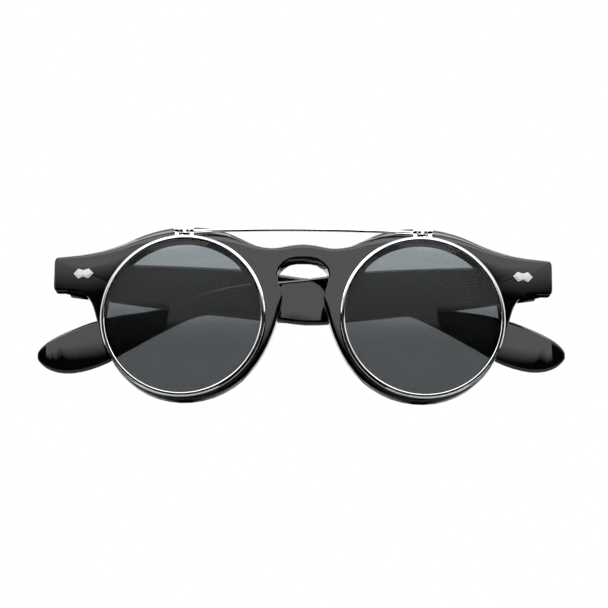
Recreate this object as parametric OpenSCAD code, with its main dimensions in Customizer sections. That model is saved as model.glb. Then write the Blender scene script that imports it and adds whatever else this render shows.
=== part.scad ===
// Round flip-up sunglasses, temples folded, tinted flip front down.
// Origin: middle of the nose saddle, where the bridge sits on the nose.
// X runs across the face to the wearer's left, Y from the front to the ears, Z up.

/* [Front] */
// Width of the plastic front over both end pieces
front_w = 143.6; // [140:0.2:146]
// Thickness of the plastic front
front_t = 4.2; // [3.8:0.1:4.8]
// Radius of the front's sideways bow
bow_r = 400; // [350:10:600]
// Height of the bridge above the nose saddle
bridge_h = 4.4; // [3.6:0.1:5]
// Height of the brow above the nose saddle, over the eyes
brow_h = 10.2; // [9.9:0.1:10.5]
// Half width of the keyhole at its widest
keyhole_half_w = 7.3; // [6.9:0.1:8]
// Half width of the nose gap between the two points under the keyhole
nose_half_w = 5.85; // [5.2:0.05:6.6]
// Height of the end piece's top edge
end_top_z = 1.5; // [0.9:0.1:2]
// Height of the end piece's bottom edge
end_bottom_z = -8.65; // [-9.4:0.05:-8]
// How far the moulded nose pads stand out behind the front
nose_pad_h = 2; // [1.2:0.1:2.6]
// How far the saddle stands out behind the bridge
saddle_h = 3.2; // [2:0.1:4]
// Radius of the rounding along the front's back edges
back_round = 0.6; // [0.4:0.05:0.8]
// How far the hinge seat stands proud of the end piece's back
seat_proud = 0.2; // [0.1:0.05:0.5]

/* [Eyes] */
// Distance between the two eye centres
eye_gap = 68.2; // [67.4:0.2:69]
// Depth of the eye centres below the nose saddle
eye_drop = 17.1; // [16.8:0.1:17.4]
// Radius of each eye opening in the plastic
eye_r = 22; // [21.5:0.1:22.4]
// Width of the plastic rim below the eye opening
rim_w = 2.4; // [2.2:0.1:2.8]
// How far the rim's round outline is set over towards the nose
rim_shift = 0.9; // [0:0.1:1]
// Thickness of the base lenses
base_lens_t = 1.6; // [1.4:0.1:2]
// Radius of every lens's outer surface
lens_curve_r = 200; // [160:10:400]
// Depth of the lens grooves
groove_depth = 0.6; // [0.45:0.05:0.7]

/* [Flip front] */
// Outer radius of the metal flip rims
flip_r = 23.65; // [23.4:0.05:24]
// Width of the flip rim, seen from the front
flip_band = 1.3; // [1.2:0.05:1.5]
// Thickness of the flip rim, front to back
flip_t = 1.9; // [1.8:0.1:2.2]
// Width of the channel in the flip rim's front face
rim_channel_w = 0.4; // [0.3:0.05:0.45]
// Gap between the flip rim and the plastic behind it
flip_gap = 0.5; // [0.4:0.05:0.9]
// Thickness of the flip lenses
flip_lens_t = 1.2; // [1:0.1:1.3]
// Depth of the groove in the flip rim
flip_groove = 0.5; // [0.4:0.05:0.6]
// Radius of the wire bar
bar_r = 0.48; // [0.4:0.02:0.6]
// Rise of the wire bar at its middle
bar_rise = 0.7; // [0.3:0.1:1.5]

/* [Flip hinge] */
// Height of the flip pin above the flip rim's top
flip_pin_up = 1.55; // [1.5:0.05:1.7]
// Distance of the flip pin from the plastic's front surface
flip_pin_out = 1.35; // [1.3:0.05:1.6]
// Radius of the flip pin
flip_pin_r = 0.45; // [0.35:0.05:0.55]
// Radius of the flip hinge's knuckles
flip_knuckle_r = 1.05; // [0.95:0.05:1.1]
// Width of the fixed knuckle
flip_base_w = 2.5; // [2:0.1:3]
// Thickness of the ears on the flip rim
flip_ear_w = 1.1; // [0.8:0.1:1.4]
// Thickness of the tongue that is let into the brow
tongue_t = 0.8; // [0.6:0.05:1]

/* [Temples] */
// Length of a temple from its hinge to its tip
temple_len = 143.2; // [138:0.2:148]
// Thickness of the temple at its butt end
butt_t = 3.6; // [3.3:0.1:3.7]
// Thickness of the temple at its tip
tail_t = 2.1; // [1.9:0.1:2.3]
// Radius of the rounding along the temple's edges
temple_round = 1.15; // [0.8:0.05:1.2]
// Height of the hinge's middle
hinge_z = -3.8; // [-4.2:0.1:-3.4]
// How far the butt end reaches past the hinge screw
butt_reach = 1.5; // [1.2:0.1:1.6]
// Space between butt end and end piece when the temple is at right angles
open_gap = 0.5; // [0.45:0.05:0.8]
// Tilt of the wearer's left temple, folded first, towards the front
under_tilt = 1.8; // [1.6:0.1:2]
// Tilt of the wearer's right temple, folded over it, away from the front
over_tilt = 1.6; // [1.5:0.1:2.2]
// Angle by which the left temple hangs below the level and the right one rises above it
temple_sag = 0.65; // [0:0.05:0.7]

/* [Temple hinges] */
// Radius of the hinge knuckles
knuckle_r = 1.15; // [1:0.05:1.2]
// Height of the middle knuckle
knuckle_h = 1.9; // [1.6:0.1:2.2]
// Gap between neighbouring knuckles
knuckle_gap = 0.08; // [0.05:0.01:0.15]
// Distance of the temple's inner face from the hinge screw
leaf_side = 1.5; // [1.45:0.05:1.8]
// Thickness of the hinge leaves
leaf_t = 0.75; // [0.6:0.05:0.8]
// Radius of the hinge screw
screw_r = 0.6; // [0.5:0.05:0.7]

/* [Fittings] */
// Half length of the rivet plaque
plaque_half_w = 2.9; // [2.6:0.1:3.2]
// Half height of the rivet plaque
plaque_half_h = 1.5; // [1.3:0.1:1.7]
// Distance from the front's middle to the plaque's middle
plaque_x = 63.1; // [62.8:0.1:63.5]
// Radius of the plaque's pins and the leaf rivets
rivet_r = 0.5; // [0.4:0.05:0.55]
// Radial play of pins that turn
turn_play = 0.05; // [0.02:0.01:0.08]
// Radial play of pins that are fixed
fixed_play = 0.02; // [0.01:0.01:0.04]

/* [Hidden] */
$fn = 64;
right = -1;
left = 1;
eps = 0.01;

half_w = front_w / 2;
eye_x = eye_gap / 2;
eye_z = -eye_drop;
wrap = asin(eye_x / bow_r);
function front_y(x) = -front_t / 2 + x * x / (2 * bow_r);
eye_mid_y = front_y(eye_x) + front_t / 2;
seat_y = front_y(half_w) + front_t + seat_proud;
hinge_x = half_w - butt_t - leaf_side - 0.2;
hinge_y = seat_y + butt_reach + open_gap;

// Smooth curve through rows of numbers, with a mirrored row before the first and after the last
function cr(a, b, c, d, t) =
    0.5 * (2 * b + (c - a) * t + (2 * a - 5 * b + 4 * c - d) * t * t + (3 * b - a - 3 * c + d) * t * t * t);
function spline(p, n, before, after) = [
    for (i = [0 : len(p) - 2], k = [0 : n - 1])
        cr(i == 0 ? before : p[i - 1], p[i], p[i + 1], i == len(p) - 2 ? after : p[i + 2], k / n),
    p[len(p) - 1]
];
function unit(v) = v / norm(v);

// Outline of the front's left half, clockwise from the bridge's top to the nose saddle.
// Each row: x, z, angle of its partner on the eye opening, width of the front rounding,
// and how far the back stands out.
rim_r = eye_r + rim_w;
bridge_top = [
    [0, bridge_h, 150, 1.4, saddle_h],
    [3.5, bridge_h - 0.35, 146, 1.35, saddle_h],
    [6.6, bridge_h - 1, 141, 1.2, saddle_h * 0.9],
    [9.6, bridge_h - 1.25, 135, 1.1, saddle_h * 0.6]
];
brow = [
    [eye_x - 20.5, bridge_h - 0.5, 129, 1.3, saddle_h * 0.2],
    [eye_x - 17, brow_h - 4.4, 122.5, 2.2, 0],
    [eye_x - 13, brow_h - 2.2, 115, 3.1, 0],
    [eye_x - 7.5, brow_h - 0.5, 105, 3.5, 0],
    [eye_x, brow_h, 90, 3.6, 0],
    [eye_x + 6, brow_h - 0.65, 77, 3.2, 0],
    [eye_x + 12, brow_h - 2.45, 64, 2.6, 0],
    [eye_x + 17.5, brow_h - 5, 52, 2, 0]
];
end_piece = [
    [half_w - 14, end_top_z + 1.6, 42, 1.5, 0],
    [half_w - 7.5, end_top_z + 0.45, 33, 1.1, 0],
    [half_w - 1.6, end_top_z, 27, 0.8, 0],
    [half_w - 0.4, end_top_z - 0.4, 24.5, 0.7, 0],
    [half_w, end_top_z - 1.6, 22.5, 0.7, 0],
    [half_w, (end_top_z + end_bottom_z) / 2, 19, 0.7, 0],
    [half_w, end_bottom_z + 1.6, 16, 0.7, 0],
    [half_w - 0.4, end_bottom_z + 0.4, 14, 0.7, 0],
    [half_w - 1.6, end_bottom_z, 12.5, 0.7, 0],
    [half_w - 5.8, end_bottom_z - 0.2, 10.5, 0.7, 0],
    [half_w - 9.4, end_bottom_z - 1.35, 8, 0.7, 0],
    [half_w - 11.2, end_bottom_z - 3.75, 4.5, 0.7, 0],
    [half_w - 12.3, end_bottom_z - 6.85, 0.5, 0.7, 0]
];
rim_bottom = [
    for (a = [-12 : -15 : -147])
        let (r = rim_r + (a > -20 ? 0.4 : 0))
        [eye_x - rim_shift + r * cos(a), eye_z + r * sin(a), a, 0.7, 0]
];
nose = [
    [nose_half_w + 4, eye_z - 7.9, -162, 0.8, nose_pad_h * 0.45],
    [nose_half_w + 2, eye_z - 2.6, -174, 1, nose_pad_h],
    [nose_half_w + 0.7, eye_z + 2.5, -184.5, 1, nose_pad_h],
    [nose_half_w, eye_z + 5.7, -191, 0.7, nose_pad_h * 0.8],
    [(nose_half_w + keyhole_half_w) / 2 + 0.1, eye_z + 8.4, -197, 0.6, nose_pad_h * 0.7]
];
keyhole = [
    [keyhole_half_w, -6, -203, 0.6, saddle_h * 1.1],
    [keyhole_half_w - 0.5, -2.9, -208, 0.6, saddle_h * 1.1],
    [keyhole_half_w - 3.4, -0.45, -214, 0.6, saddle_h],
    [0, 0, -220, 0.6, saddle_h]
];
outline_steps = 2;
bridge_spans = len(bridge_top) - 1;
outline_rows = concat(bridge_top, brow, end_piece, rim_bottom, nose, keyhole);
outline = spline(outline_rows, outline_steps,
    [-bridge_top[1][0], bridge_top[1][1], 154, 1.35, saddle_h],
    [-keyhole[2][0], keyhole[2][1], -226, 0.6, saddle_h]);
n_out = len(outline);
bridge_cols = bridge_spans * outline_steps;
function flat(p) = [p[0], p[1]];
// Outward direction of the outline at column i
function out_dir(i) =
    i == 0 ? [0, 1] :
    i == n_out - 1 ? [0, -1] :
    let (d = unit(flat(outline[i + 1]) - flat(outline[i - 1])))
    [-d[1], d[0]];
// A point of the front: inset from the outline, and a depth behind the bowed front surface
function edge_pt(p, n, inset, depth) =
    let (x = p[0] - n[0] * inset)
    [x, front_y(x) + depth, p[1] - n[1] * inset];
function eye_pt(a, inset, depth) =
    let (x = eye_x + (eye_r + inset) * cos(a))
    [x, front_y(x) + depth, eye_z + (eye_r + inset) * sin(a)];
function between(a, b, depth) =
    let (x = (a[0] + b[0]) / 2)
    [x, front_y(x) + depth, (a[2] + b[2]) / 2];
// Edge of the front at column i, from the front surface round to the back surface
function edge_profile(i) =
    let (p = outline[i], n = out_dir(i), w = p[3])
    let (d = min(0.9, 0.35 + w * 0.2) * w, b = front_t + p[4])
    concat(
        [for (a = [0, 30, 60, 90]) edge_pt(p, n, w * (1 - sin(a)), d * (1 - cos(a)))],
        [for (a = [0, 45, 90])
            edge_pt(p, n, back_round * (1 - cos(a)), b - back_round * (1 - sin(a)))]);
eye_round = 0.4;
// Closed loop of column i round the rim, from the front surface out, back and through the opening
function column(i) =
    let (e = edge_profile(i), a = outline[i][2])
    let (f = eye_pt(a, eye_round, 0), b = eye_pt(a, eye_round, front_t))
    concat(
        [f, between(f, e[0], 0)], e,
        [between(e[6], b, front_t + outline[i][4] * 0.45), b,
            eye_pt(a, 0, front_t - eye_round), eye_pt(a, 0, eye_round),
            eye_pt(a, eye_round * 0.3, eye_round * 0.3)]);
n_col = 14;
// Quads of one half: the loop round the eye, and the half bridge up to the middle
first_col = bridge_cols;
last_col = n_out - 1 - bridge_cols;
columns = [for (i = [first_col : last_col]) column(i)];
function quad(a, b, k) =
    let (m = (k + 1) % n_col)
    [a[k], b[k], b[m], a[m]];
rim_quads = [
    for (i = [0 : len(columns) - 2], k = [0 : n_col - 1]) quad(columns[i], columns[i + 1], k)
];
// The strip that closes the loop has no edge, because the bridge goes on from there
bridge_side_quads = [
    for (k = [0 : n_col - 1]) if (k < 2 || k > 7) quad(columns[len(columns) - 1], columns[0], k)
];
function bridge_loop(i) =
    let (top = edge_profile(i), low = edge_profile(n_out - 1 - i))
    concat(top, [for (k = [6 : -1 : 0]) low[k]]);
bridge_loops = [for (i = [0 : bridge_cols]) bridge_loop(i)];
bridge_quads = [
    for (i = [0 : bridge_cols - 1], k = [0 : n_col - 1]) quad(bridge_loops[i], bridge_loops[i + 1], k)
];
half_quads = concat(rim_quads, bridge_side_quads, bridge_quads);
function mirrored(p) = [-p[0], p[1], p[2]];
all_quads = concat(half_quads, [for (q = half_quads) [for (k = [3 : -1 : 0]) mirrored(q[k])]]);

module quads_solid(quads) {
    polyhedron(
        points = [for (q = quads) each q],
        faces = [
            for (i = [0 : 4 : 4 * len(quads) - 4])
                each [[i, i + 2, i + 1], [i, i + 3, i + 2]]
        ],
        convexity = 8);
}

// Places a child that is revolved about its z axis into the eye, z towards the front
module at_eye(side, y) {
    translate([side * eye_x, y, eye_z])
        rotate([0, 0, side * wrap])
            rotate([90, 0, 0])
                children();
}
module on_side(side) {
    mirror([side < 0 ? 1 : 0, 0, 0])
        children();
}

// Disc cut from a spherical shell, its edge centred on z = 0
module lens(edge_r, t) {
    mid_r = lens_curve_r - t / 2;
    drop = sqrt(mid_r * mid_r - edge_r * edge_r);
    intersection() {
        translate([0, 0, -edge_r / 2])
            cylinder(r = edge_r, h = edge_r);
        translate([0, 0, -drop])
            difference() {
                sphere(r = lens_curve_r, $fn = 128);
                sphere(r = lens_curve_r - t, $fn = 128);
            }
    }
}

// Front
lens_slack = 0.15;
base_groove_w = base_lens_t + 2 * lens_slack;
seat_in = 12.6;
seat_corner = 1.5;
module hinge_seat() {
    x0 = half_w - seat_in;
    x1 = half_w - 0.7;
    z0 = end_bottom_z + 0.7;
    z1 = end_top_z - 0.7;
    translate([0, seat_y, 0])
        rotate([90, 0, 0])
            linear_extrude(front_t)
                translate([x0 + seat_corner, z0 + seat_corner])
                    minkowski() {
                        square([x1 - x0 - 2 * seat_corner, z1 - z0 - 2 * seat_corner]);
                        circle(r = seat_corner, $fn = 32);
                    }
}
module along_y(x, z, y0, y1, r) {
    translate([x, y0, z])
        rotate([-90, 0, 0])
            cylinder(r = r, h = y1 - y0);
}
module front_frame() {
    color([0.03, 0.03, 0.035])
        difference() {
            union() {
                quads_solid(all_quads);
                for (side = [right, left])
                    on_side(side)
                        hinge_seat();
            }
            for (side = [right, left]) {
                at_eye(side, eye_mid_y)
                    rotate_extrude(angle = 360)
                        translate([eye_r - 1, -base_groove_w / 2])
                            square([1 + groove_depth, base_groove_w]);
                on_side(side) {
                    for (dx = [-plaque_pin_dx, plaque_pin_dx])
                        along_y(plaque_x + dx, hinge_z, -5, seat_y + 1, rivet_r + fixed_play);
                    tongue_pocket();
                    flip_screw_shape(base_screw_r + fixed_play, screw_hole_end, base_head_h);
                }
            }
        }
}

// Base lenses
module base_lens(side) {
    color([0.16, 0.17, 0.18, 0.6])
        at_eye(side, eye_mid_y)
            lens(eye_r + groove_depth - 0.05, base_lens_t);
}

// Rivet plaques with two pins each, which hold the front hinge leaf
plaque_pin_dx = 1.1;
plaque_t = 0.45;
plaque_shape = [
    [-plaque_half_w, 0], [-plaque_half_w * 0.53, plaque_half_h * 0.95], [0, plaque_half_h * 0.62],
    [plaque_half_w * 0.53, plaque_half_h * 0.95], [plaque_half_w, 0], [plaque_half_w * 0.5, -plaque_half_h],
    [0, -plaque_half_h * 0.6], [-plaque_half_w * 0.5, -plaque_half_h]
];
plaque_turn = asin(plaque_x / bow_r);
pin_head_h = 0.35;
module rivet_plaque(side) {
    color([0.85, 0.85, 0.86])
        on_side(side) {
            difference() {
                union() {
                    translate([plaque_x, front_y(plaque_x) - 0.02, hinge_z])
                        rotate([90, 0, plaque_turn]) {
                            linear_extrude(plaque_t)
                                polygon(plaque_shape);
                            translate([0, 0, plaque_t])
                                linear_extrude(0.2)
                                    scale([0.8, 0.72])
                                        polygon(plaque_shape);
                        }
                    for (dx = [-plaque_pin_dx, plaque_pin_dx])
                        along_y(plaque_x + dx, hinge_z, front_y(plaque_x) - 0.2, seat_y + leaf_t, rivet_r);
                }
            }
            for (dx = [-plaque_pin_dx, plaque_pin_dx])
                along_y(plaque_x + dx, hinge_z, seat_y + leaf_t, seat_y + leaf_t + pin_head_h, rivet_r + 0.25);
        }
}

// Temple hinges: the front leaf has the two outer knuckles, the temple leaf the middle one
outer_knuckle_z = knuckle_h / 2 + knuckle_gap;
outer_knuckle_h = 1.9;
leaf_half_h = outer_knuckle_z + outer_knuckle_h;
front_leaf_in = 7;
front_leaf_out = 1;
web_w = 2.2;
module front_hinge_leaf(side) {
    color([0.7, 0.7, 0.72])
        on_side(side)
            difference() {
                union() {
                    translate([hinge_x - front_leaf_in, seat_y, hinge_z - leaf_half_h])
                        cube([front_leaf_in - front_leaf_out, leaf_t, 2 * leaf_half_h]);
                    for (z = [outer_knuckle_z, -leaf_half_h])
                        translate([hinge_x, hinge_y, hinge_z + z]) {
                            cylinder(r = knuckle_r, h = outer_knuckle_h);
                            translate([-web_w, seat_y - hinge_y, 0])
                                cube([web_w, hinge_y - seat_y, outer_knuckle_h]);
                        }
                }
                translate([hinge_x, hinge_y, hinge_z - leaf_half_h - 1])
                    cylinder(r = screw_r + fixed_play, h = 2 * leaf_half_h + 2);
                for (dx = [-plaque_pin_dx, plaque_pin_dx])
                    along_y(plaque_x + dx, hinge_z, seat_y - 1, seat_y + leaf_t + 1, rivet_r + fixed_play);
            }
}
screw_head_h = 0.55;
module hinge_screw(side) {
    color([0.8, 0.8, 0.82])
        on_side(side)
            translate([hinge_x, hinge_y, hinge_z])
                difference() {
                    union() {
                        translate([0, 0, -leaf_half_h])
                            cylinder(r = screw_r, h = 2 * leaf_half_h);
                        translate([0, 0, leaf_half_h])
                            cylinder(r = screw_r + 0.4, h = screw_head_h);
                    }
                    translate([-0.13, -2, leaf_half_h + screw_head_h - 0.25])
                        cube([0.26, 4, 1]);
                }
}

// Temples: rows of distance from the hinge screw, height of the top edge and of the bottom edge
tip_s = temple_len;
butt_s = -butt_reach;
temple_rows = [
    [butt_s, 5.1, -4.2],
    [6, 5.35, -5.1],
    [18, 5.35, -6.8],
    [33, 4.85, -8.8],
    [49, 4.05, -10.6],
    [58, 3, -11.6],
    [66, 1.8, -11.9],
    [73, 1.1, -11],
    [79, 0.7, -9.8],
    [85, -0.1, -8.9],
    [91, -1.3, -8.8],
    [tip_s - 46.5, -3.15, -9.6],
    [tip_s - 41.5, -5.2, -11.6],
    [tip_s - 36.5, -7.1, -14.2],
    [tip_s - 31.5, -8.3, -17],
    [tip_s - 25.5, -9.1, -20.5],
    [tip_s - 20.5, -10.1, -23.4],
    [tip_s - 15.5, -11.4, -25.4],
    [tip_s - 10.5, -13.4, -26.5],
    [tip_s - 6.2, -15.4, -26.3],
    [tip_s - 3, -17.4, -25.1],
    [tip_s - 1.1, -19.2, -23.5],
    [tip_s - 0.3, -20.5, -22.4]
];
temple_curve = spline(temple_rows, 2,
    [2 * temple_rows[0][0] - temple_rows[1][0], 4.9, -3.4],
    [tip_s, -21.1, -21.8]);
// Thickness of the temple at distance s, before and after its tip is rounded over
tip_round = 4;
function plain_t(s) = butt_t + (tail_t - butt_t) * s / tip_s;
function temple_t(s) =
    plain_t(s) * (s < tip_s - tip_round ? 1 : sqrt(1 - 0.9 * pow(1 - (tip_s - s) / tip_round, 2)));
// Rounded section of the temple at one row, counted from its inner face
corner_angles = [0, 30, 60, 90];
function temple_section(row, shrink) =
    let (
        t = temple_t(row[0]), mid = leaf_side + plain_t(row[0]) / 2,
        y0 = mid - t / 2 + shrink, y1 = mid + t / 2 - shrink,
        z0 = row[2] + shrink, z1 = row[1] - shrink,
        r = min(temple_round, (y1 - y0) * 0.48, (z1 - z0) * 0.48))
    concat(
        [for (a = corner_angles) [-row[0], y1 - r + r * cos(a), z1 - r + r * sin(a)]],
        [for (a = corner_angles) [-row[0], y0 + r - r * sin(a), z1 - r + r * cos(a)]],
        [for (a = corner_angles) [-row[0], y0 + r - r * cos(a), z0 + r - r * sin(a)]],
        [for (a = corner_angles) [-row[0], y1 - r + r * sin(a), z0 + r - r * cos(a)]]);
butt_round = 0.45;
butt_row = [butt_s + butt_round, temple_curve[0][1], temple_curve[0][2]];
temple_sections = concat(
    [temple_section(temple_curve[0], butt_round), temple_section(butt_row, 0)],
    [for (i = [1 : len(temple_curve) - 1]) temple_section(temple_curve[i], 0)]);
n_sec = 16;
module temple_solid() {
    rows = len(temple_sections);
    polyhedron(
        points = [for (s = temple_sections) each s],
        faces = concat(
            [for (i = [0 : rows - 2], k = [0 : n_sec - 1])
                let (m = (k + 1) % n_sec)
                each [
                    [i * n_sec + k, i * n_sec + m, (i + 1) * n_sec + m],
                    [i * n_sec + k, (i + 1) * n_sec + m, (i + 1) * n_sec + k]
                ]],
            [[for (k = [n_sec - 1 : -1 : 0]) k]],
            [[for (k = [0 : n_sec - 1]) (rows - 1) * n_sec + k]]),
        convexity = 6);
}
// Places a temple piece: its length runs along -x, its inner face looks along -y
module at_temple(side) {
    on_side(side)
        translate([hinge_x, hinge_y, hinge_z])
            rotate([0, 0, side > 0 ? under_tilt : -over_tilt])
                children();
}
temple_rivet_s = [3.4, 7.2];
temple_rivet_depth = 2.2;
module temple(side) {
    color([0.03, 0.03, 0.035])
        at_temple(side)
            difference() {
                rotate([0, side * -temple_sag, 0])
                    temple_solid();
                for (s = temple_rivet_s)
                    along_y(-s, 0, leaf_side - 1, leaf_side + temple_rivet_depth + 0.1, rivet_r + fixed_play);
            }
}
temple_leaf_len = 9.4;
temple_leaf_clear = 1.45;
temple_leaf_half_h = 2.5;
module temple_hinge_leaf(side) {
    color([0.7, 0.7, 0.72])
        at_temple(side)
            difference() {
                union() {
                    translate([-temple_leaf_len, leaf_side - leaf_t, -temple_leaf_half_h])
                        cube([temple_leaf_len - temple_leaf_clear, leaf_t, 2 * temple_leaf_half_h]);
                    translate([-temple_leaf_clear - eps, leaf_side - leaf_t, -knuckle_h / 2])
                        cube([temple_leaf_clear + eps, leaf_t, knuckle_h]);
                    translate([0, 0, -knuckle_h / 2])
                        cylinder(r = knuckle_r, h = knuckle_h);
                }
                translate([0, 0, -knuckle_h])
                    cylinder(r = screw_r + turn_play, h = 2 * knuckle_h);
                for (s = temple_rivet_s)
                    along_y(-s, 0, 0, leaf_side + 1, rivet_r + fixed_play);
            }
}
module temple_rivets(side) {
    color([0.8, 0.8, 0.82])
        at_temple(side)
            for (s = temple_rivet_s) {
                along_y(-s, 0, leaf_side - leaf_t, leaf_side + temple_rivet_depth, rivet_r);
                along_y(-s, 0, leaf_side - leaf_t - 0.25, leaf_side - leaf_t, rivet_r + 0.3);
            }
}

// Flip front: its pin axis runs along x above the rims
flip_y = front_y(eye_x) - flip_gap - flip_t / 2;
flip_pin_y = front_y(eye_x) - flip_pin_out;
flip_pin_z = eye_z + flip_r + flip_pin_up;
ear_gap = 0.3;
ear_in_x = eye_x - flip_base_w / 2 - ear_gap - flip_ear_w;
ear_out_x = eye_x + flip_base_w / 2 + ear_gap;
rim_round = 0.35;
// Depth of the channel as a share of the wall in front of the lens groove
channel_share = 0.7;
module flip_rim(side) {
    inner_r = flip_r - flip_band;
    half_groove = flip_lens_t / 2 + 0.08;
    channel_floor = flip_t / 2 - channel_share * (flip_t / 2 - half_groove);
    channel_out_r = flip_r - rim_round;
    channel_slope = rim_channel_w / 4;
    color([0.82, 0.82, 0.83]) {
        difference() {
            union() {
                at_eye(side, flip_y)
                    rotate_extrude(angle = 360)
                        polygon([
                            [inner_r, -flip_t / 2], [flip_r - 0.2, -flip_t / 2], [flip_r, 0.2 - flip_t / 2],
                            [flip_r, flip_t / 2 - rim_round],
                            [flip_r - rim_round * 0.3, flip_t / 2 - rim_round * 0.3],
                            [channel_out_r, flip_t / 2],
                            [channel_out_r - channel_slope, channel_floor],
                            [channel_out_r - rim_channel_w + channel_slope, channel_floor],
                            [channel_out_r - rim_channel_w, flip_t / 2],
                            [inner_r + rim_round, flip_t / 2],
                            [inner_r + rim_round * 0.3, flip_t / 2 - rim_round * 0.3],
                            [inner_r, flip_t / 2 - rim_round]
                        ]);
                on_side(side)
                    for (x = [ear_in_x, ear_out_x])
                        flip_ear(x);
            }
            at_eye(side, flip_y)
                rotate_extrude(angle = 360)
                    translate([inner_r - 1, -half_groove])
                        square([1 + flip_groove, 2 * half_groove]);
            on_side(side)
                translate([ear_in_x - 1, flip_pin_y, flip_pin_z])
                    rotate([0, 90, 0])
                        cylinder(r = flip_pin_r + fixed_play, h = flip_base_w + 2 * flip_ear_w + 3);
        }
    }
}
module flip_ear(x) {
    foot_z = eye_z + flip_r - flip_band / 2;
    translate([x, flip_pin_y, flip_pin_z])
        rotate([0, 90, 0])
            cylinder(r = flip_knuckle_r, h = flip_ear_w);
    translate([x, flip_y - flip_t / 2 + 0.3, foot_z])
        cube([flip_ear_w, flip_t - 0.5, flip_pin_z - foot_z]);
}
module flip_lens(side) {
    color([0.12, 0.13, 0.14, 0.6])
        at_eye(side, flip_y)
            lens(flip_r - flip_band + flip_groove - 0.05, flip_lens_t);
}
module flip_pin(side) {
    color([0.85, 0.85, 0.86])
        on_side(side)
            translate([ear_in_x, flip_pin_y, flip_pin_z])
                rotate([0, 90, 0]) {
                    cylinder(r = flip_pin_r, h = flip_base_w + 2 * (ear_gap + flip_ear_w));
                    translate([0, 0, flip_base_w + 2 * (ear_gap + flip_ear_w)])
                        cylinder(r = flip_pin_r + 0.25, h = 0.3);
                }
}
bar_end_x = ear_in_x - 0.02;
bar_end_z = flip_pin_z - 0.3;
bar_bend_r = (bar_end_x * bar_end_x + bar_rise * bar_rise) / (2 * bar_rise);
bar_half_angle = asin(bar_end_x / bar_bend_r);
module flip_bar() {
    color([0.85, 0.85, 0.86])
        translate([0, flip_pin_y, bar_end_z + bar_rise - bar_bend_r])
            rotate([90, 0, 0])
                rotate([0, 0, 90 - bar_half_angle])
                    rotate_extrude(angle = 2 * bar_half_angle, $fn = 96)
                        translate([bar_bend_r, 0])
                            circle(r = bar_r, $fn = 32);
}

// Fixed knuckle of the flip hinge, with a tongue let into the brow and a screw through it
tongue_w = 2;
tongue_top = flip_pin_z + flip_knuckle_r;
tongue_bottom = tongue_top - tongue_t;
tongue_back = front_y(eye_x) + 3;
tongue_root = 0.5;
pocket_play = 0.06;
slot_w = 1;
slot_low = flip_knuckle_r * 2 / 3;
// The screw hangs from the brow's top and ends midway between the tongue and the lens groove
base_screw_r = 0.45;
base_screw_y = front_y(eye_x) + 2.2;
base_head_sink = 0.08;
base_head_r = 0.75;
base_head_h = 0.3;
head_slot_w = 0.2;
screw_hole_end = 0.05;
base_screw_top = brow_h - base_head_sink;
base_screw_foot = (tongue_bottom + eye_z + eye_r + groove_depth) / 2;
module tongue_pocket() {
    translate([eye_x - tongue_w / 2 - pocket_play, flip_pin_y, tongue_bottom])
        cube([tongue_w + 2 * pocket_play, tongue_back + pocket_play - flip_pin_y, tongue_t + pocket_play]);
}
module flip_screw_shape(r, below, above) {
    translate([eye_x, base_screw_y, base_screw_foot - below])
        cylinder(r = r, h = base_screw_top - base_screw_foot + below + above);
}
module flip_base(side) {
    color([0.82, 0.82, 0.83])
        on_side(side)
            difference() {
                union() {
                    translate([eye_x - flip_base_w / 2, flip_pin_y, flip_pin_z])
                        rotate([0, 90, 0])
                            cylinder(r = flip_knuckle_r, h = flip_base_w);
                    translate([eye_x - tongue_w / 2, flip_pin_y - tongue_root, tongue_bottom])
                        cube([tongue_w, tongue_back - flip_pin_y + tongue_root, tongue_t]);
                }
                translate([eye_x - flip_base_w, flip_pin_y, flip_pin_z])
                    rotate([0, 90, 0])
                        cylinder(r = flip_pin_r + turn_play, h = 2 * flip_base_w);
                translate([eye_x - slot_w / 2, flip_pin_y - 2 * flip_knuckle_r, flip_pin_z - slot_low])
                    cube([slot_w, 2 * flip_knuckle_r, 3 * flip_knuckle_r]);
                flip_screw_shape(base_screw_r + fixed_play, screw_hole_end, tongue_t);
            }
}
module flip_base_screws() {
    color([0.8, 0.8, 0.82])
        for (side = [right, left])
            on_side(side)
                difference() {
                    union() {
                        flip_screw_shape(base_screw_r, 0, 0);
                        translate([eye_x, base_screw_y, base_screw_top])
                            cylinder(r1 = base_head_r, r2 = base_head_r - base_head_h / 2, h = base_head_h);
                    }
                    translate([eye_x, base_screw_y, base_screw_top + base_head_h])
                        cube([head_slot_w, 4 * base_head_r, base_head_h], center = true);
                }
}

front_frame();
base_lens(right);  // base_lens_right
base_lens(left);  // base_lens_left
front_hinge_leaf(right);  // front_hinge_leaf_right
front_hinge_leaf(left);  // front_hinge_leaf_left
hinge_screw(right);  // hinge_screw_right
hinge_screw(left);  // hinge_screw_left
rivet_plaque(right);  // rivet_plaque_right
rivet_plaque(left);  // rivet_plaque_left
flip_base(right);  // flip_base_right
flip_base(left);  // flip_base_left
flip_base_screws();
flip_rim(right);  // flip_rim_right
flip_rim(left);  // flip_rim_left
flip_lens(right);  // flip_lens_right
flip_lens(left);  // flip_lens_left
flip_pin(right);  // flip_pin_right
flip_pin(left);  // flip_pin_left
flip_bar();
temple(right);  // temple_right
temple(left);  // temple_left
temple_hinge_leaf(right);  // temple_hinge_leaf_right
temple_hinge_leaf(left);  // temple_hinge_leaf_left
temple_rivets(right);  // temple_rivets_right
temple_rivets(left);  // temple_rivets_left
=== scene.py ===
"""Looks for the round flip-up sunglasses: polished black plastic, smoke lenses and bright metal."""

import math

import bpy
from bpy.props import FloatProperty, FloatVectorProperty, PointerProperty
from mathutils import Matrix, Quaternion, Vector


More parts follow.
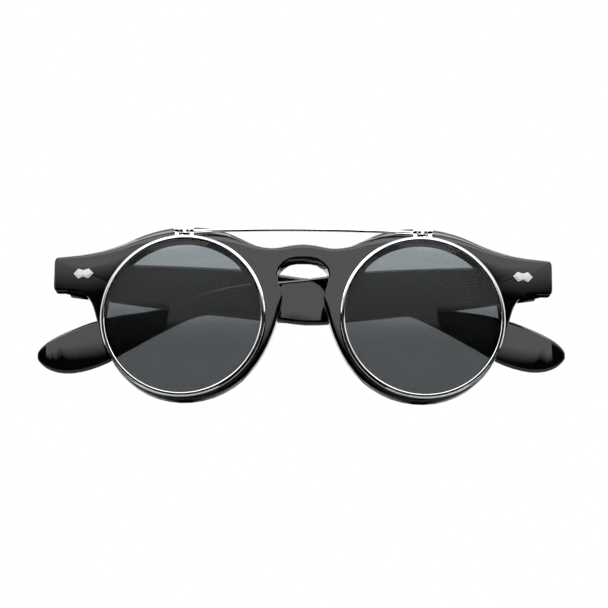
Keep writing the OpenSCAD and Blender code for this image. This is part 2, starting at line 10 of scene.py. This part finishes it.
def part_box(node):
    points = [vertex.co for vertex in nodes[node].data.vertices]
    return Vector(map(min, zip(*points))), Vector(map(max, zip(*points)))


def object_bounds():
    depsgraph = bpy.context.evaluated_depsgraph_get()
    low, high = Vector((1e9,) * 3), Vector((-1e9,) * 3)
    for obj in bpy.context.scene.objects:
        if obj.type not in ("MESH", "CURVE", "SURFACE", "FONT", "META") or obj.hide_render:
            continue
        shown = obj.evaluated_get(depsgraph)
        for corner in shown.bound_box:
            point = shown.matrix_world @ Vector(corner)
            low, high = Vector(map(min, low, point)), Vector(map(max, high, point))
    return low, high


bl_info = {
    "name": "Flip Up Sunglasses",
    "version": (1, 0, 0),
    "blender": (4, 5, 0),
    "location": "View3D > Sidebar > Sunglasses",
    "description": "Finishes the flip-up sunglasses and lights them for a picture",
    "category": "Object",
}

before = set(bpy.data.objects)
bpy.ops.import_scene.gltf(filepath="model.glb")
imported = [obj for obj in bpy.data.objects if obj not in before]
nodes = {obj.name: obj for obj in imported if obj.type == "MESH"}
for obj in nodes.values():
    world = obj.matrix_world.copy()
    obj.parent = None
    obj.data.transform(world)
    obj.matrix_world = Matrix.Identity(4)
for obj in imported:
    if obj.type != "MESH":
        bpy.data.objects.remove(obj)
cad_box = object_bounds()
SIDES = ("right", "left")
MM = 0.001
# Wiping lines in the polish: their scale along X, their height against the patches, their number
LINE_STRETCH = 0.04
LINE_HEIGHT = 0.15
LINES_PER_METRE = 1500.0
# The painted shade in a rim's channel: its middle past the lens edge, half its width, the limit of
# the faces that look ahead, and the shares of the radius between which it thins out upwards
CHANNEL_MIDDLE = 0.08 * MM
CHANNEL_HALF = 0.28 * MM
AHEAD = -0.4
FADE_START = 0.05
FADE_END = 0.45
# Share of a flag's height at which its upper edge starts to fade
FLAG_FADE = 0.95


# Settings


class PlasticSettings(bpy.types.PropertyGroup):
    """Finish of the black front and temples."""

    color: FloatVectorProperty(
        name="Colour",
        description="Colour of the plastic in its depth",
        subtype="COLOR",
        min=0.0,
        max=1.0,
        default=(0.0011, 0.0011, 0.0012),
    )
    haze_color: FloatVectorProperty(
        name="Haze colour",
        description="Colour where the polish is a little cloudy",
        subtype="COLOR",
        min=0.0,
        max=1.0,
        default=(0.0024, 0.0024, 0.0026),
    )
    roughness: FloatProperty(
        name="Roughness",
        description="Roughness of the clean polish",
        subtype="FACTOR",
        min=0.0,
        max=1.0,
        default=0.02,
    )


class LensSettings(bpy.types.PropertyGroup):
    """Tint of the two pairs of lenses, and the shadow painted into the flip lenses' lower part."""

    base_tint: FloatVectorProperty(
        name="Base lens tint",
        description="Share of the light that a base lens lets through",
        subtype="COLOR",
        min=0.0,
        max=1.0,
        default=(0.575, 0.605, 0.615),
    )
    flip_tint_top: FloatVectorProperty(
        name="Flip lens tint, top",
        description="Share of the light that a flip lens lets through at its top",
        subtype="COLOR",
        min=0.0,
        max=1.0,
        default=(0.485, 0.52, 0.54),
    )
    # Painted shadow: the bottom colour is darker than the lens's own tint, standing in for shadow
    # seen through the lower lens
    flip_tint_and_shadow_bottom: FloatVectorProperty(
        name="Flip lens tint, bottom",
        description="Share of the light that a flip lens lets through at its bottom",
        subtype="COLOR",
        min=0.0,
        max=1.0,
        default=(0.134, 0.142, 0.144),
    )
    index: FloatProperty(
        name="Refractive index",
        description="Refractive index of the coated lens surface",
        min=1.0,
        max=2.0,
        default=1.25,
    )


class MetalSettings(bpy.types.PropertyGroup):
    """Finish of the rims, bar, plaques and hinges, and the shade painted into the rim channels."""

    bright_color: FloatVectorProperty(
        name="Bright metal",
        description="Colour of the plated rims, bar and plaques",
        subtype="COLOR",
        min=0.0,
        max=1.0,
        default=(0.86, 0.86, 0.87),
    )
    # Painted shade: the dark colour painted into the lower part of each flip rim's channel
    channel_color: FloatVectorProperty(
        name="Rim channel",
        description="Colour of the blackened channel round the flip rims",
        subtype="COLOR",
        min=0.0,
        max=1.0,
        default=(0.02, 0.02, 0.02),
    )
    hinge_color: FloatVectorProperty(
        name="Hinge metal",
        description="Colour of the hinge leaves",
        subtype="COLOR",
        min=0.0,
        max=1.0,
        default=(0.62, 0.62, 0.64),
    )


class StageSettings(bpy.types.PropertyGroup):
    """Camera, lamps and floor."""

    camera_distance: FloatProperty(
        name="Camera distance",
        description="Distance from the camera to the front",
        subtype="DISTANCE",
        unit="LENGTH",
        min=0.2,
        max=2.0,
        default=0.6,
    )
    camera_lens: FloatProperty(
        name="Focal length",
        description="Focal length on a 36 mm sensor",
        min=20.0,
        max=300.0,
        default=125.0,
    )
    camera_drop: FloatProperty(
        name="Camera drop",
        description="Angle by which the camera looks up at the front",
        subtype="ANGLE",
        unit="ROTATION",
        min=0.0,
        max=1.0,
        default=math.radians(14.0),
    )
    camera_roll: FloatProperty(
        name="Camera roll",
        description="Roll of the camera about its own line of sight",
        subtype="ANGLE",
        unit="ROTATION",
        min=-0.2,
        max=0.2,
        default=math.radians(0.45),
    )
    room_light: FloatProperty(
        name="Room light",
        description="Strength of the plain light from all round",
        min=0.0,
        max=2.0,
        default=0.55,
    )


# Effects that several materials share


def new_group(name, inputs, outputs):
    group = bpy.data.node_groups.new(name, "ShaderNodeTree")
    for label, kind, value in inputs:
        socket = group.interface.new_socket(label, in_out="INPUT", socket_type=kind)
        socket.default_value = value
    for label, kind in outputs:
        group.interface.new_socket(label, in_out="OUTPUT", socket_type=kind)
    return group, group.nodes.new("NodeGroupInput"), group.nodes.new("NodeGroupOutput")


def add_math(tree, operation, first, second):
    """A Math node; each value is a number or a socket."""
    node = tree.nodes.new("ShaderNodeMath")
    node.operation = operation
    for socket, value in zip(node.inputs, (first, second)):
        if isinstance(value, (int, float)):
            socket.default_value = value
        else:
            tree.links.new(value, socket)
    return node.outputs[0]


def polish_group():
    """Cloudy polish: soft haze patches, fine wiping lines and a faint waviness."""
    name = "polish"
    if name in bpy.data.node_groups:
        return bpy.data.node_groups[name]
    group, entry, out = new_group(
        name,
        [
            ("Clean", "NodeSocketFloat", 0.05),
            ("Hazy", "NodeSocketFloat", 0.12),
            ("Patch scale", "NodeSocketFloat", 60.0),
        ],
        [(label, "NodeSocketFloat") for label in ("Roughness", "Haze", "Height")],
    )
    where = group.nodes.new("ShaderNodeTexCoord")
    patches = group.nodes.new("ShaderNodeTexNoise")
    patches.inputs["Detail"].default_value = 3.0
    patches.inputs["Roughness"].default_value = 0.55
    group.links.new(where.outputs["Object"], patches.inputs["Vector"])
    group.links.new(entry.outputs["Patch scale"], patches.inputs["Scale"])
    stretch = group.nodes.new("ShaderNodeMapping")
    stretch.inputs["Scale"].default_value = (LINE_STRETCH, 1.0, 1.0)
    group.links.new(where.outputs["Object"], stretch.inputs["Vector"])
    lines = group.nodes.new("ShaderNodeTexNoise")
    lines.inputs["Detail"].default_value = 1.0
    lines.inputs["Scale"].default_value = LINES_PER_METRE
    group.links.new(stretch.outputs["Vector"], lines.inputs["Vector"])
    ramp = group.nodes.new("ShaderNodeMapRange")
    ramp.inputs["From Min"].default_value = 0.42
    ramp.inputs["From Max"].default_value = 0.72
    group.links.new(patches.outputs["Fac"], ramp.inputs["Value"])
    spread = add_math(group, "SUBTRACT", entry.outputs["Hazy"], entry.outputs["Clean"])
    rise = add_math(group, "MULTIPLY", ramp.outputs["Result"], spread)
    group.links.new(add_math(group, "ADD", entry.outputs["Clean"], rise), out.inputs["Roughness"])
    group.links.new(ramp.outputs["Result"], out.inputs["Haze"])
    fine = add_math(group, "MULTIPLY", lines.outputs["Fac"], LINE_HEIGHT)
    group.links.new(add_math(group, "ADD", patches.outputs["Fac"], fine), out.inputs["Height"])
    return group


def new_material(name):
    material = bpy.data.materials.new(name)
    material.use_nodes = True
    return material, material.node_tree, material.node_tree.nodes["Principled BSDF"]


def add_polish(tree, shader, clean, hazy, patch_scale, depth):
    """Adds the polish to a material's roughness and normal, and returns its haze mask.

    clean and hazy are roughness values, and depth is the height of the waviness in metres.
    """
    polish = tree.nodes.new("ShaderNodeGroup")
    polish.node_tree = polish_group()
    polish.inputs["Clean"].default_value = clean
    polish.inputs["Hazy"].default_value = hazy
    polish.inputs["Patch scale"].default_value = patch_scale
    tree.links.new(polish.outputs["Roughness"], shader.inputs["Roughness"])
    bump = tree.nodes.new("ShaderNodeBump")
    bump.inputs["Distance"].default_value = depth
    tree.links.new(polish.outputs["Height"], bump.inputs["Height"])
    tree.links.new(bump.outputs["Normal"], shader.inputs["Normal"])
    return polish.outputs["Haze"]


def mix_colors(tree, mask, first, second):
    mix = tree.nodes.new("ShaderNodeMix")
    mix.data_type = "RGBA"
    mix.inputs["A"].default_value = (*first, 1.0)
    mix.inputs["B"].default_value = (*second, 1.0)
    tree.links.new(mask, mix.inputs["Factor"])
    return mix.outputs["Result"]


def dulled(color, share):
    return [share * part for part in color]


# Materials


def black_plastic():
    """Deep black plastic with a clear coat of polish."""
    settings = bpy.context.scene.sunglasses_plastic
    material, tree, shader = new_material("polished_black")
    rough = settings.roughness
    haze = add_polish(
        tree, shader, clean=rough, hazy=rough + 0.03, patch_scale=45.0, depth=0.0005 * MM
    )
    tree.links.new(
        mix_colors(tree, haze, settings.color, settings.haze_color), shader.inputs["Base Color"]
    )
    shader.inputs["IOR"].default_value = 1.49
    shader.inputs["Coat Weight"].default_value = 0.25
    shader.inputs["Coat Roughness"].default_value = rough
    return material


def bright_metal():
    """Plated metal with a few dull patches."""
    settings = bpy.context.scene.sunglasses_metal
    material, tree, shader = new_material("bright_nickel")
    haze = add_polish(
        tree, shader, clean=0.05, hazy=0.16, patch_scale=400.0, depth=0.001 * MM
    )
    color = mix_colors(tree, haze, settings.bright_color, dulled(settings.bright_color, 0.88))
    tree.links.new(color, shader.inputs["Base Color"])
    shader.inputs["Metallic"].default_value = 1.0
    return material


def ring_shade_mask_group():
    """Mask of the painted shade in the lower part of a ring on the front of either rim, about an
    eye centre.
    """
    name = "ring_mask"
    if name in bpy.data.node_groups:
        return bpy.data.node_groups[name]
    labels = ("Eye X", "Eye Z", "Wrap", "Middle", "Half width")
    inputs = [(label, "NodeSocketFloat", 0.0) for label in labels]
    group, entry, out = new_group(name, inputs, [("Mask", "NodeSocketFloat")])
    middle = entry.outputs["Middle"]
    where = group.nodes.new("ShaderNodeTexCoord")
    place = group.nodes.new("ShaderNodeSeparateXYZ")
    group.links.new(where.outputs["Object"], place.inputs["Vector"])
    side = add_math(group, "ABSOLUTE", place.outputs["X"], 0.0)
    across = add_math(group, "SUBTRACT", side, entry.outputs["Eye X"])
    across = add_math(group, "MULTIPLY", across, entry.outputs["Wrap"])
    up = add_math(group, "SUBTRACT", place.outputs["Z"], entry.outputs["Eye Z"])
    square = add_math(group, "MULTIPLY", across, across)
    square = add_math(group, "ADD", square, add_math(group, "MULTIPLY", up, up))
    radius = add_math(group, "SQRT", square, 0.0)
    off = add_math(group, "ABSOLUTE", add_math(group, "SUBTRACT", radius, middle), 0.0)
    inside = add_math(group, "LESS_THAN", off, entry.outputs["Half width"])
    direction = group.nodes.new("ShaderNodeSeparateXYZ")
    group.links.new(where.outputs["Normal"], direction.inputs["Vector"])
    ahead = add_math(group, "LESS_THAN", direction.outputs["Y"], AHEAD)
    inside = add_math(group, "MULTIPLY", inside, ahead)
    lower = group.nodes.new("ShaderNodeMapRange")
    group.links.new(up, lower.inputs["Value"])
    group.links.new(add_math(group, "MULTIPLY", middle, FADE_START), lower.inputs["From Min"])
    group.links.new(add_math(group, "MULTIPLY", middle, FADE_END), lower.inputs["From Max"])
    lower.inputs["To Min"].default_value = 1.0
    lower.inputs["To Max"].default_value = 0.0
    mask = add_math(group, "MULTIPLY", inside, lower.outputs["Result"])
    group.links.new(mask, out.inputs["Mask"])
    return group


def rim_metal():
    """Bright metal, with shade painted dark into the lower part of the channel round the rim's
    front.
    """
    settings = bpy.context.scene.sunglasses_metal
    material, tree, shader = new_material("bright_rim")
    haze = add_polish(
        tree, shader, clean=0.05, hazy=0.12, patch_scale=400.0, depth=0.001 * MM
    )
    low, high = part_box("flip_lens_left")
    mask = tree.nodes.new("ShaderNodeGroup")
    mask.node_tree = ring_shade_mask_group()
    mask.inputs["Eye X"].default_value = (low.x + high.x) / 2
    mask.inputs["Eye Z"].default_value = (low.z + high.z) / 2
    mask.inputs["Wrap"].default_value = (high.z - low.z) / (high.x - low.x)
    mask.inputs["Middle"].default_value = (high.z - low.z) / 2 + CHANNEL_MIDDLE
    mask.inputs["Half width"].default_value = CHANNEL_HALF
    metal = mix_colors(tree, haze, settings.bright_color, dulled(settings.bright_color, 0.9))
    # Painted shade: where the mask is, the rim takes the dark channel colour
    mix = tree.nodes.new("ShaderNodeMix")
    mix.data_type = "RGBA"
    tree.links.new(mask.outputs["Mask"], mix.inputs["Factor"])
    tree.links.new(metal, mix.inputs["A"])
    mix.inputs["B"].default_value = (*settings.channel_color, 1.0)
    tree.links.new(mix.outputs["Result"], shader.inputs["Base Color"])
    shader.inputs["Metallic"].default_value = 1.0
    return material


def hinge_metal():
    """Plain metal, rubbed dull and a little rippled."""
    settings = bpy.context.scene.sunglasses_metal
    material, tree, shader = new_material("hinge_steel")
    haze = add_polish(
        tree, shader, clean=0.18, hazy=0.32, patch_scale=700.0, depth=0.008 * MM
    )
    color = mix_colors(tree, haze, settings.hinge_color, dulled(settings.hinge_color, 0.75))
    tree.links.new(color, shader.inputs["Base Color"])
    shader.inputs["Metallic"].default_value = 1.0
    return material


def smoke_lens(name, top_tint, bottom_tint_and_shadow, low_z, high_z):
    """Tinted lens glass whose colour runs softly from low_z to high_z; a darker bottom colour is
    painted shadow.
    """
    settings = bpy.context.scene.sunglasses_lens
    material, tree, shader = new_material(name)
    where = tree.nodes.new("ShaderNodeTexCoord")
    split = tree.nodes.new("ShaderNodeSeparateXYZ")
    tree.links.new(where.outputs["Object"], split.inputs["Vector"])
    height = tree.nodes.new("ShaderNodeMapRange")
    height.interpolation_type = "SMOOTHSTEP"
    height.inputs["From Min"].default_value = low_z
    height.inputs["From Max"].default_value = high_z
    tree.links.new(split.outputs["Z"], height.inputs["Value"])
    tree.links.new(
        mix_colors(tree, height.outputs["Result"], bottom_tint_and_shadow, top_tint),
        shader.inputs["Base Color"],
    )
    shader.inputs["Transmission Weight"].default_value = 1.0
    shader.inputs["Roughness"].default_value = 0.0
    shader.inputs["IOR"].default_value = settings.index
    return material


# Work on the frame's own nodes


def dress(name, material):
    """Gives a node its finish and smooth faces."""
    node = nodes[name]
    node.data.materials.clear()
    node.data.materials.append(material)
    for face in node.data.polygons:
        face.use_smooth = True
        face.material_index = 0
    return node


def shade_by_angle(node, degrees):
    """Joins a node's faces, keeps the edges sharper than the angle and leaves flat faces flat."""
    bpy.context.view_layer.objects.active = node
    if node.data.has_custom_normals:
        chosen = {"object": node, "active_object": node, "selected_objects": [node]}
        with bpy.context.temp_override(**chosen):
            bpy.ops.mesh.customdata_custom_splitnormals_clear()
    weld = node.modifiers.new("join_faces", "WELD")
    weld.merge_threshold = 0.002 * MM
    split = node.modifiers.new("keep_edges", "EDGE_SPLIT")
    split.split_angle = math.radians(degrees)
    split.use_edge_sharp = False
    even = node.modifiers.new("weigh_faces", "WEIGHTED_NORMAL")
    even.weight = 80


def dress_all(names, material, degrees):
    for name in names:
        shade_by_angle(dress(name, material), degrees)


def both(name):
    return [f"{name}_{side}" for side in SIDES]


# Operators


class SUNGLASSES_OT_front(bpy.types.Operator):
    """Finish the black plastic front"""

    bl_idname = "sunglasses.front"
    bl_label = "Front"

    def execute(self, context):
        material = bpy.data.materials.get("polished_black") or black_plastic()
        dress_all(["front_frame"], material, degrees=32)
        return {"FINISHED"}


class SUNGLASSES_OT_temples(bpy.types.Operator):
    """Finish the two black plastic temples"""

    bl_idname = "sunglasses.temples"
    bl_label = "Temples"

    def execute(self, context):
        material = bpy.data.materials.get("polished_black") or black_plastic()
        dress_all(both("temple"), material, degrees=40)
        return {"FINISHED"}


class SUNGLASSES_OT_base_lenses(bpy.types.Operator):
    """Tint the fixed lenses evenly"""

    bl_idname = "sunglasses.base_lenses"
    bl_label = "Base lenses"

    def execute(self, context):
        tint = context.scene.sunglasses_lens.base_tint
        low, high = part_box("base_lens_left")
        material = smoke_lens("smoke_base_lens", tint, tint, low.z, high.z)
        dress_all(both("base_lens"), material, degrees=40)
        return {"FINISHED"}


class SUNGLASSES_OT_flip_lenses(bpy.types.Operator):
    """Tint the flip-up lenses, with painted shadow darker towards the bottom"""

    bl_idname = "sunglasses.flip_lenses"
    bl_label = "Flip lenses"

    def execute(self, context):
        settings = context.scene.sunglasses_lens
        low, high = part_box("flip_lens_left")
        height = high.z - low.z
        # Painted shadow darkens the lower part of each flip lens below its own tint
        material = smoke_lens(
            "smoke_flip_lens",
            settings.flip_tint_top,
            settings.flip_tint_and_shadow_bottom,
            low_z=low.z + 0.30 * height,
            high_z=high.z + 0.05 * height,
        )
        dress_all(both("flip_lens"), material, degrees=40)
        return {"FINISHED"}


class SUNGLASSES_OT_bright_metal(bpy.types.Operator):
    """Finish the flip rims, bar, pins, knuckles, plaques, screws and rivets"""

    bl_idname = "sunglasses.bright_metal"
    bl_label = "Bright metal"

    def execute(self, context):
        names = ["flip_bar", "flip_base_screws"]
        for piece in ("flip_pin", "flip_base", "rivet_plaque", "hinge_screw", "temple_rivets"):
            names += both(piece)
        dress_all(names, bright_metal(), degrees=35)
        dress_all(both("flip_rim"), rim_metal(), degrees=35)
        return {"FINISHED"}


class SUNGLASSES_OT_hinges(bpy.types.Operator):
    """Finish the hinge leaves of the front and the temples"""

    bl_idname = "sunglasses.hinges"
    bl_label = "Hinge leaves"

    def execute(self, context):
        names = both("front_hinge_leaf") + both("temple_hinge_leaf")
        dress_all(names, hinge_metal(), degrees=35)
        return {"FINISHED"}


def card(name, center, width, height, toward):
    """A flat sheet of the stage that looks in the direction toward."""
    half_w = width / 2
    half_h = height / 2
    corners = [
        (-half_w, -half_h, 0),
        (half_w, -half_h, 0),
        (half_w, half_h, 0),
        (-half_w, half_h, 0),
    ]
    mesh = bpy.data.meshes.new(name)
    mesh.from_pydata(corners, [], [(0, 1, 2, 3)])
    sheet = bpy.data.objects.new(name, mesh)
    sheet.location = center
    sheet.rotation_mode = "QUATERNION"
    sheet.rotation_quaternion = Vector(toward).to_track_quat("Z", "Y")
    bpy.context.scene.collection.objects.link(sheet)
    return sheet


def floor_material():
    """Pale floor that is only there from above, so that a low camera sees past it."""
    material, tree, shader = new_material("pale_floor")
    shader.inputs["Base Color"].default_value = (0.86, 0.86, 0.86, 1.0)
    shader.inputs["Roughness"].default_value = 0.6
    shader.inputs["Specular IOR Level"].default_value = 0.0
    clear = tree.nodes.new("ShaderNodeBsdfTransparent")
    side = tree.nodes.new("ShaderNodeNewGeometry")
    mix = tree.nodes.new("ShaderNodeMixShader")
    tree.links.new(side.outputs["Backfacing"], mix.inputs["Fac"])
    tree.links.new(shader.outputs["BSDF"], mix.inputs[1])
    tree.links.new(clear.outputs["BSDF"], mix.inputs[2])
    tree.links.new(mix.outputs["Shader"], tree.nodes["Material Output"].inputs["Surface"])
    return material


def flag_material():
    """Black cloth that fades out over a strip along its upper edge."""
    material, tree, shader = new_material("black_flag")
    shader.inputs["Base Color"].default_value = (0.0, 0.0, 0.0, 1.0)
    shader.inputs["Roughness"].default_value = 1.0
    shader.inputs["Specular IOR Level"].default_value = 0.0
    where = tree.nodes.new("ShaderNodeTexCoord")
    split = tree.nodes.new("ShaderNodeSeparateXYZ")
    tree.links.new(where.outputs["Generated"], split.inputs["Vector"])
    fade = tree.nodes.new("ShaderNodeMapRange")
    fade.inputs["From Min"].default_value = FLAG_FADE
    fade.inputs["To Min"].default_value = 1.0
    fade.inputs["To Max"].default_value = 0.0
    tree.links.new(split.outputs["Y"], fade.inputs["Value"])
    tree.links.new(fade.outputs["Result"], shader.inputs["Alpha"])
    return material


def black_flag(name, center, width, height, toward, tilt=0.0):
    """A black card, tilted in its own plane by degrees, that only shows in reflections."""
    flag = card(name, center, width, height, toward)
    turn = Quaternion((0.0, 0.0, 1.0), math.radians(tilt))
    flag.rotation_quaternion = flag.rotation_quaternion @ turn
    flag.data.materials.append(bpy.data.materials.get("black_flag") or flag_material())
    flag.visible_camera = False
    flag.visible_diffuse = False
    flag.visible_transmission = False
    flag.visible_shadow = False
    return flag


def softbox(name, center, aim, width, height, radiance):
    """An area lamp aimed at a point, seen in reflections and not by the camera."""
    data = bpy.data.lights.new(name, "AREA")
    data.shape = "RECTANGLE"
    data.size = width
    data.size_y = height
    data.energy = radiance * math.pi * width * height
    lamp = bpy.data.objects.new(name, data)
    lamp.location = center
    lamp.rotation_mode = "QUATERNION"
    lamp.rotation_quaternion = (Vector(aim) - Vector(center)).to_track_quat("-Z", "Y")
    lamp.visible_camera = False
    bpy.context.scene.collection.objects.link(lamp)
    return lamp


def white_room(strength):
    """World that lights at a strength, and shows as white to the eye, in metal and in glass."""
    world = bpy.data.worlds.new("white_room")
    bpy.context.scene.world = world
    world.use_nodes = True
    tree = world.node_tree
    tree.nodes.clear()
    path = tree.nodes.new("ShaderNodeLightPath")
    seen = add_math(tree, "MAXIMUM", path.outputs["Is Camera Ray"], path.outputs["Is Glossy Ray"])
    seen = add_math(tree, "MAXIMUM", seen, path.outputs["Is Transmission Ray"])
    light = tree.nodes.new("ShaderNodeBackground")
    light.inputs["Color"].default_value = (1.0, 1.0, 1.0, 1.0)
    light.inputs["Strength"].default_value = strength
    white = tree.nodes.new("ShaderNodeBackground")
    white.inputs["Color"].default_value = (1.0, 1.0, 1.0, 1.0)
    white.inputs["Strength"].default_value = 1.0
    mix = tree.nodes.new("ShaderNodeMixShader")
    tree.links.new(seen, mix.inputs["Fac"])
    tree.links.new(light.outputs["Background"], mix.inputs[1])
    tree.links.new(white.outputs["Background"], mix.inputs[2])
    out = tree.nodes.new("ShaderNodeOutputWorld")
    tree.links.new(mix.outputs["Shader"], out.inputs["Surface"])


def aim_camera(settings, target):
    data = bpy.data.cameras.new("camera")
    data.lens = settings.camera_lens
    data.sensor_width = 36.0
    data.clip_start = 0.01
    data.clip_end = 20.0
    camera = bpy.data.objects.new("camera", data)
    away = Vector((0.0, -math.cos(settings.camera_drop), -math.sin(settings.camera_drop)))
    camera.location = target + away * settings.camera_distance
    camera.rotation_mode = "QUATERNION"
    look = (-away).to_track_quat("-Z", "Y")
    camera.rotation_quaternion = look @ Quaternion((0.0, 0.0, 1.0), settings.camera_roll)
    bpy.context.scene.collection.objects.link(camera)
    bpy.context.scene.camera = camera


def add_floor_and_flags(foot):
    """The floor under the part's foot, and the black cards that its polish reflects."""
    back = (0.0, 1.0, 0.0)
    up = (0.0, 0.0, 1.0)
    center = (0.0, 0.0, foot - 0.02 * MM)
    floor = card("floor", center, width=4.0, height=4.0, toward=up)
    floor.data.materials.append(floor_material())

    # Across and below the camera: their upper edges give the dark lower part of each flat face
    black_flag("low_flag", (0.0, -0.75, -0.097), width=1.7, height=0.50, toward=back)
    for name, across, tilt in (("left_flag", -0.66, 7.3), ("right_flag", 0.66, -7.3)):
        center = (across, -0.74, 0.004)
        black_flag(name, center, width=0.78, height=0.50, toward=back, tilt=tilt)

    # On the floor: they darken what the metal wire sees below itself, and the temples from behind
    ground = foot + 0.05 * MM
    black_flag("floor_flag", (0.0, -0.38, ground), width=1.4, height=0.64, toward=up)
    black_flag("near_flag", (0.0, -0.065, ground), width=1.4, height=0.11, toward=up)
    black_flag("back_flag", (0.0, 0.36, ground), width=1.4, height=0.5, toward=up, tilt=180.0)


def add_lamps():
    """A dim panel level with the front, a bright one above it and a strip overhead."""
    part = (0.0, 0.0, -0.012)
    level = {"center": (0.0, -0.76, 0.23), "aim": (0.0, 0.0, 0.23)}
    softbox("front_softbox", **level, width=1.3, height=0.24, radiance=0.7)
    above = {"center": (0.0, -0.64, 0.56), "aim": part}
    softbox("high_softbox", **above, width=1.1, height=0.42, radiance=2.0)
    overhead = {"center": (0.0, -0.12, 0.62), "aim": part}
    strip = softbox("top_softbox", **overhead, width=0.9, height=0.30, radiance=5.0)
    strip.visible_diffuse = False


class SUNGLASSES_OT_stage(bpy.types.Operator):
    """Add the floor, the lamps, the white room and the camera"""

    bl_idname = "sunglasses.stage"
    bl_label = "Stage"

    def execute(self, context):
        settings = context.scene.sunglasses_stage
        add_floor_and_flags(cad_box[0].z)
        add_lamps()
        white_room(settings.room_light)
        aim_camera(settings, Vector((0.0003, -0.0021, -0.0135)))
        context.scene.view_settings.view_transform = "Standard"
        return {"FINISHED"}


# Panel


class SUNGLASSES_PT_panel(bpy.types.Panel):
    """The steps that finish the sunglasses"""

    bl_idname = "SUNGLASSES_PT_panel"
    bl_label = "Sunglasses"
    bl_space_type = "VIEW_3D"
    bl_region_type = "UI"
    bl_category = "Sunglasses"

    def draw(self, context):
        for settings in SETTINGS:
            owner = getattr(context.scene, settings)
            for name in owner.__annotations__:
                self.layout.prop(owner, name)
        for operator in OPERATORS:
            self.layout.operator(operator.bl_idname)


OPERATORS = (
    SUNGLASSES_OT_front,
    SUNGLASSES_OT_temples,
    SUNGLASSES_OT_base_lenses,
    SUNGLASSES_OT_flip_lenses,
    SUNGLASSES_OT_bright_metal,
    SUNGLASSES_OT_hinges,
    SUNGLASSES_OT_stage,
)
SETTINGS = {
    "sunglasses_plastic": PlasticSettings,
    "sunglasses_lens": LensSettings,
    "sunglasses_metal": MetalSettings,
    "sunglasses_stage": StageSettings,
}
CLASSES = (*SETTINGS.values(), *OPERATORS, SUNGLASSES_PT_panel)


def register():
    for kind in CLASSES:
        bpy.utils.register_class(kind)
    for name, kind in SETTINGS.items():
        setattr(bpy.types.Scene, name, PointerProperty(type=kind))


def unregister():
    for name in SETTINGS:
        delattr(bpy.types.Scene, name)
    for kind in reversed(CLASSES):
        bpy.utils.unregister_class(kind)


def main():
    register()
    bpy.ops.sunglasses.front()
    bpy.ops.sunglasses.temples()
    bpy.ops.sunglasses.base_lenses()
    bpy.ops.sunglasses.flip_lenses()
    bpy.ops.sunglasses.bright_metal()
    bpy.ops.sunglasses.hinges()
    bpy.ops.sunglasses.stage()


if __name__ == "__main__":
    main()
